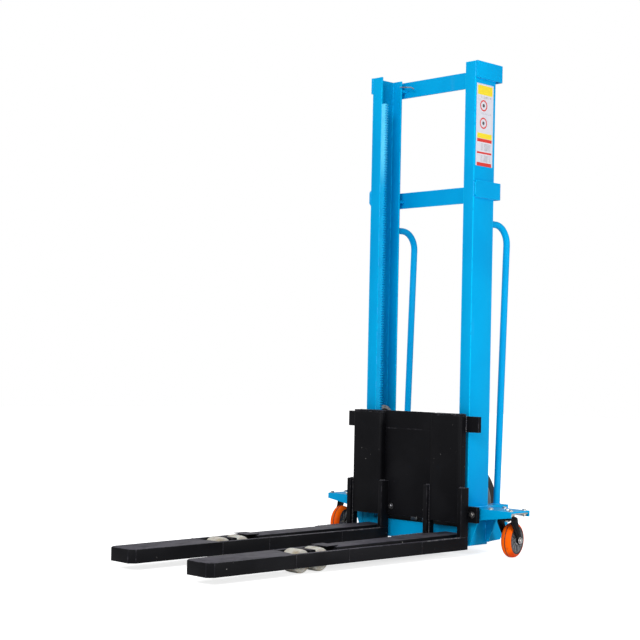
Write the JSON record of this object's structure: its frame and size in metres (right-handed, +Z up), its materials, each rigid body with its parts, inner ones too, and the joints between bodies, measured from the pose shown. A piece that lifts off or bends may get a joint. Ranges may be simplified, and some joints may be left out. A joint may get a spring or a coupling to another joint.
{
  "type": "walkie stacker",
  "caption": "Pedestrian straddle-leg stacker: twin channel mast with gear rack, sliding fork carriage, fixed support legs on tandem rollers, swivel casters and a steered rear wheel.",
  "frame": {"origin": "on the floor, at the middle of the bounding box's footprint in X and Y", "axes": "+Z up, the forks point to -Y, +X to the right of someone facing +Y"},
  "size_m": [0.904, 1.67, 1.79],
  "materials": {
    "blue_paint": "gloss enamel",
    "panel_print": "printed film",
    "zinc": "zinc plated",
    "black_paint": "satin powder coat",
    "rim_grey": "satin",
    "black_rubber": "moulded",
    "steel": "machined",
    "gearbox_grey": "cast and painted",
    "box_plastic": "textured powder coat",
    "battery_case": "moulded",
    "key_metal": "polished",
    "stop_red": "moulded",
    "button_green": "moulded",
    "cream_nylon": "cast nylon",
    "orange_tyre": "polyurethane"
  },
  "bodies": {
    "chassis": {"base_beams": "blue_paint", "base_brackets": "blue_paint", "batteries": "battery_case", "caster_bolts": "zinc", "control_box": "box_plastic", "gear_rack": "blue_paint", "info_panel": "panel_print", "left_caster_plate": "zinc", "left_handle": "blue_paint", "left_leg": "black_paint", "left_upright": "blue_paint", "left_wing": "blue_paint", "middle_strap": "blue_paint", "power_box": "box_plastic", "power_box_lid": "box_plastic", "rear_bridge": "blue_paint", "right_caster_plate": "zinc", "right_handle": "blue_paint", "right_leg": "black_paint", "right_upright": "blue_paint", "right_wing": "blue_paint", "side_plates": "blue_paint", "strap_spacers": "blue_paint", "top_strap": "blue_paint"},
    "carriage": {"crossbars": "black_paint", "backrest": "black_paint", "fork_bolts": "zinc", "right_roller_bracket": "black_paint", "left_roller_bracket": "black_paint", "drive_bracket": "black_paint", "gearbox": "gearbox_grey", "lift_motor": "gearbox_grey", "right_fork": "black_paint", "left_fork": "black_paint"},
    "pinion": {"pinion": "steel"},
    "rear_steer": {"rear_yoke": "black_paint", "rear_kingpin": "zinc", "rear_axle": "zinc"},
    "rear_wheel": {"rear_wheel_rim": "rim_grey", "rear_tyre": "black_rubber"},
    "emergency_stop": {"emergency_stop": "stop_red"},
    "raise_button": {"raise_button": "button_green"},
    "lower_button": {"lower_button": "button_green"},
    "key": {"key_switch": "key_metal"},
    "right_upper_guide": {"right_upper_guide_roller": "steel"},
    "right_lower_guide": {"right_lower_guide_roller": "steel"},
    "right_bogie": {"right_bogie": "steel"},
    "right_front_roller": {"right_front_load_roller": "cream_nylon"},
    "right_rear_roller": {"right_rear_load_roller": "cream_nylon"},
    "right_caster": {"right_caster_fork": "black_paint", "right_caster_axle": "zinc"},
    "right_caster_wheel": {"right_caster_wheel": "orange_tyre"},
    "left_upper_guide": {"left_upper_guide_roller": "steel"},
    "left_lower_guide": {"left_lower_guide_roller": "steel"},
    "left_bogie": {"left_bogie": "steel"},
    "left_front_roller": {"left_front_load_roller": "cream_nylon"},
    "left_rear_roller": {"left_rear_load_roller": "cream_nylon"},
    "left_caster": {"left_caster_fork": "black_paint", "left_caster_axle": "zinc"},
    "left_caster_wheel": {"left_caster_wheel": "orange_tyre"}
  },
  "joints": [
    {"name": "lift", "type": "slide", "parent": "chassis", "child": "carriage", "axis": [0, 0, 1], "range_m": [0, 1.2]},
    {"name": "pinion_spin", "type": "hinge", "parent": "carriage", "child": "pinion", "pos_m": [-0.1584, 0.383, 0.455], "axis": [0, 1, 0], "continuous": true},
    {"name": "rear_steer", "type": "hinge", "parent": "chassis", "child": "rear_steer", "pos_m": [0, 0.685, 0.33], "axis": [0, 0, 1], "range_deg": [-90, 90]},
    {"name": "rear_roll", "type": "hinge", "parent": "rear_steer", "child": "rear_wheel", "pos_m": [0, 0.685, 0.15], "axis": [1, 0, 0], "continuous": true},
    {"name": "emergency_push", "type": "slide", "parent": "chassis", "child": "emergency_stop", "axis": [0, -1, 0], "range_m": [0, 0.004]},
    {"name": "raise_push", "type": "slide", "parent": "chassis", "child": "raise_button", "axis": [0, -1, 0], "range_m": [0, 0.003], "stiffness_N_per_m": 300},
    {"name": "lower_push", "type": "slide", "parent": "chassis", "child": "lower_button", "axis": [0, -1, 0], "range_m": [0, 0.003], "stiffness_N_per_m": 300},
    {"name": "key_turn", "type": "hinge", "parent": "chassis", "child": "key", "pos_m": [0.058, 0.55, 0.43], "axis": [0, 1, 0], "range_deg": [0, 90]},
    {"name": "right_upper_guide_spin", "type": "hinge", "parent": "carriage", "child": "right_upper_guide", "pos_m": [0.23, 0.436, 0.476], "axis": [1, 0, 0], "continuous": true},
    {"name": "right_lower_guide_spin", "type": "hinge", "parent": "carriage", "child": "right_lower_guide", "pos_m": [0.23, 0.436, 0.236], "axis": [1, 0, 0], "continuous": true},
    {"name": "right_bogie_tilt", "type": "hinge", "parent": "chassis", "child": "right_bogie", "pos_m": [0.193, -0.3755, 0.038], "axis": [1, 0, 0], "range_deg": [-6, 6]},
    {"name": "right_front_roller_spin", "type": "hinge", "parent": "right_bogie", "child": "right_front_roller", "pos_m": [0.193, -0.418, 0.039], "axis": [1, 0, 0], "continuous": true},
    {"name": "right_rear_roller_spin", "type": "hinge", "parent": "right_bogie", "child": "right_rear_roller", "pos_m": [0.193, -0.333, 0.039], "axis": [1, 0, 0], "continuous": true},
    {"name": "right_caster_swivel", "type": "hinge", "parent": "chassis", "child": "right_caster", "pos_m": [0.397, 0.427, 0.14], "axis": [0, 0, 1], "continuous": true},
    {"name": "right_caster_roll", "type": "hinge", "parent": "right_caster", "child": "right_caster_wheel", "pos_m": [0.3886, 0.47019, 0.0625], "axis": [0.9816, 0.1908, 0], "continuous": true},
    {"name": "left_upper_guide_spin", "type": "hinge", "parent": "carriage", "child": "left_upper_guide", "pos_m": [-0.23, 0.436, 0.476], "axis": [1, 0, 0], "continuous": true},
    {"name": "left_lower_guide_spin", "type": "hinge", "parent": "carriage", "child": "left_lower_guide", "pos_m": [-0.23, 0.436, 0.236], "axis": [1, 0, 0], "continuous": true},
    {"name": "left_bogie_tilt", "type": "hinge", "parent": "chassis", "child": "left_bogie", "pos_m": [-0.193, -0.3755, 0.038], "axis": [1, 0, 0], "range_deg": [-6, 6]},
    {"name": "left_front_roller_spin", "type": "hinge", "parent": "left_bogie", "child": "left_front_roller", "pos_m": [-0.193, -0.418, 0.039], "axis": [1, 0, 0], "continuous": true},
    {"name": "left_rear_roller_spin", "type": "hinge", "parent": "left_bogie", "child": "left_rear_roller", "pos_m": [-0.193, -0.333, 0.039], "axis": [1, 0, 0], "continuous": true},
    {"name": "left_caster_swivel", "type": "hinge", "parent": "chassis", "child": "left_caster", "pos_m": [-0.397, 0.427, 0.14], "axis": [0, 0, 1], "continuous": true},
    {"name": "left_caster_roll", "type": "hinge", "parent": "left_caster", "child": "left_caster_wheel", "pos_m": [-0.38561, 0.3845, 0.0625], "axis": [-0.9659, -0.2588, 0], "continuous": true}
  ],
  "couplings": [
    {"joint": "pinion_spin", "follows": "lift", "rad_per_m": -39.216},
    {"joint": "right_upper_guide_spin", "follows": "lift", "rad_per_m": 20},
    {"joint": "right_lower_guide_spin", "follows": "lift", "rad_per_m": -20},
    {"joint": "left_upper_guide_spin", "follows": "lift", "rad_per_m": 20},
    {"joint": "left_lower_guide_spin", "follows": "lift", "rad_per_m": -20}
  ]
}
